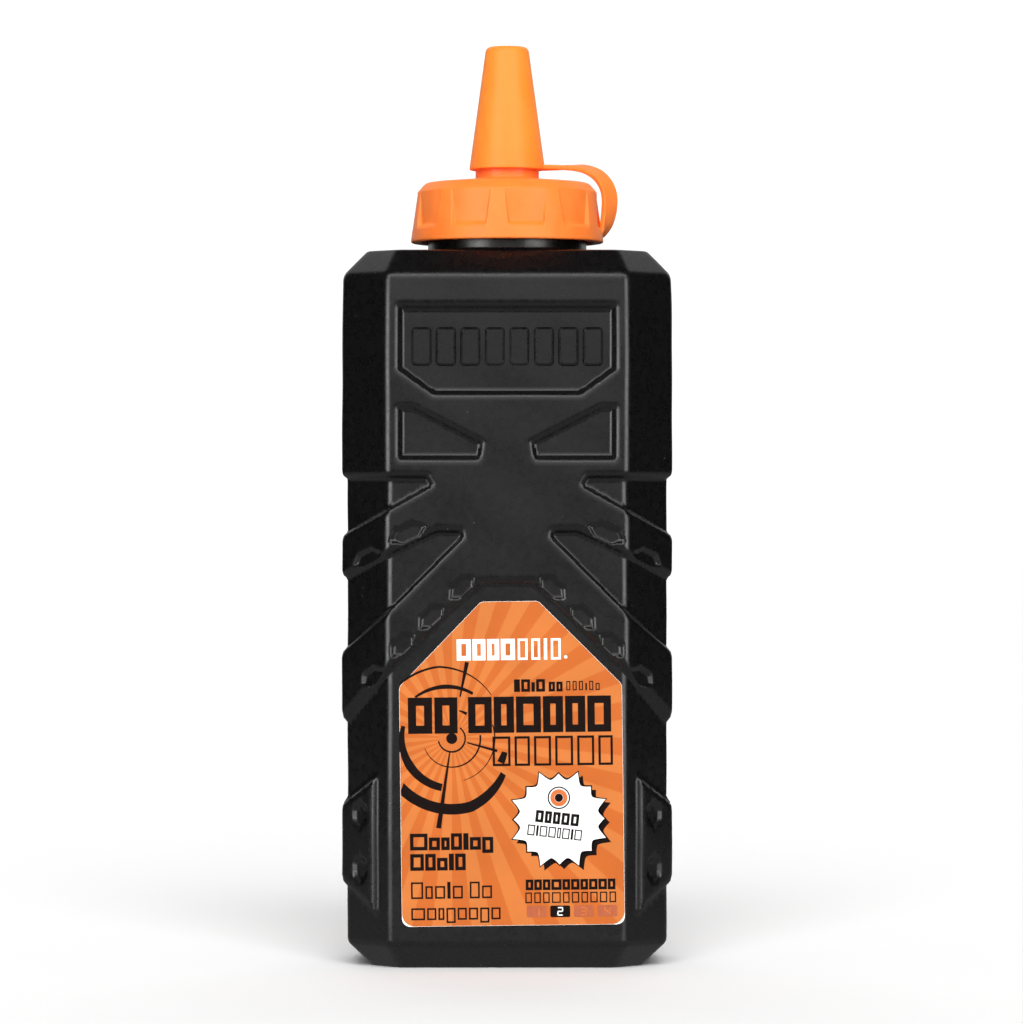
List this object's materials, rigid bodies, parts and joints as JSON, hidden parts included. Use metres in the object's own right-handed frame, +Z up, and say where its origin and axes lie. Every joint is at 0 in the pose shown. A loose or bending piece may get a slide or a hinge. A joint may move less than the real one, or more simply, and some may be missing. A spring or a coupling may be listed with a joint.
{
  "type": "marking chalk refill bottle",
  "caption": "Octagonal blow-moulded squeeze bottle of marking chalk with a screw-on spout closure, a tethered conical tip cap, inner seals and flat labels.",
  "frame": {"origin": "centre of the bottle's footprint, on the surface it stands on", "axes": "+Z up along the neck axis, +X to the right of the front label, where the tether strap is, and -Y out of the front label"},
  "size_m": [0.072, 0.05, 0.2018],
  "materials": {
    "bottle_hdpe": "semi-matte black blow-moulded polyethylene with a fine mottle",
    "chalk_powder": "loose dry powder",
    "seal_foil": "satin foil laminate",
    "front_label_stock": "coated print, satin",
    "back_label_stock": "coated print, satin",
    "liner_foam": "foamed polyethylene wad",
    "closure_orange": "satin moulded polypropylene",
    "strap_orange": "satin moulded polyethylene",
    "tip_cap_orange": "satin moulded polyethylene"
  },
  "bodies": {
    "bottle_body": {"bottle": "bottle_hdpe", "chalk_fill": "chalk_powder", "foil_seal": "seal_foil", "front_label": "front_label_stock", "back_label": "back_label_stock"},
    "liner_body": {"closure_liner": "liner_foam"},
    "closure_body": {"spout_closure": "closure_orange", "tether_strap": "strap_orange"},
    "tip_cap_body": {"tip_cap": "tip_cap_orange"}
  },
  "joints": [
    {"name": "closure_lift", "type": "slide", "parent": "bottle_body", "child": "liner_body", "axis": [0, 0, 1], "range_m": [0, 0.01101]},
    {"name": "closure_turn", "type": "hinge", "parent": "liner_body", "child": "closure_body", "pos_m": [0, 0, 0.1643], "axis": [0, 0, 1], "range_deg": [0, 936]},
    {"name": "tip_cap_pull", "type": "slide", "parent": "closure_body", "child": "tip_cap_body", "axis": [0, 0, 1], "range_m": [0, 0.015], "deforming": ["tether_strap"]}
  ],
  "couplings": [
    {"joint": "closure_lift", "follows": "closure_turn", "m_per_rad": 0.0006737}
  ]
}
